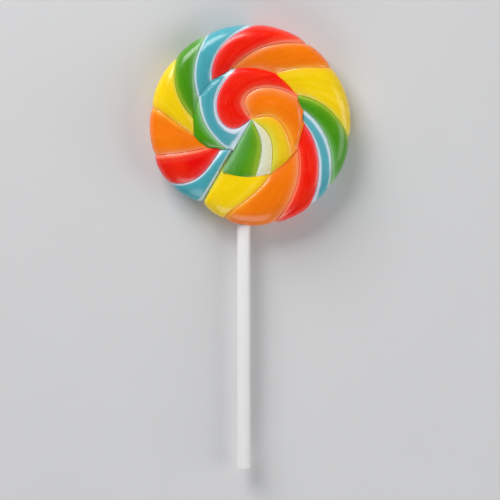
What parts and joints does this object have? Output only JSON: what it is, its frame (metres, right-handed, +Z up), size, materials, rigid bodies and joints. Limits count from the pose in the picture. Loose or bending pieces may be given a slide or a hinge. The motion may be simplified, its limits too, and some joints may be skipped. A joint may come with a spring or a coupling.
{
  "type": "swirl lollipop",
  "caption": "Flat round lollipop of boiled sugar: rainbow strands twisted into a rope, coiled and pressed into a disc on a plain white stick, lying face up.",
  "frame": {"origin": "middle of the whole lollipop's bounding box, on the surface that the candy's flat back lies on", "axes": "+Y runs along the stick from its free end to the disc's far rim, +Z is up, out of the shown face, and +X is to the right as the face is seen with the stick pointing down"},
  "size_m": [0.0646, 0.1446, 0.0116],
  "materials": {
    "sugar": "glossy boiled sugar in red, orange, yellow, green, blue and cream strands",
    "stick": "smooth plain white"
  },
  "bodies": {
    "root": {"candy": "sugar", "stick": "stick"}
  },
  "joints": []
}
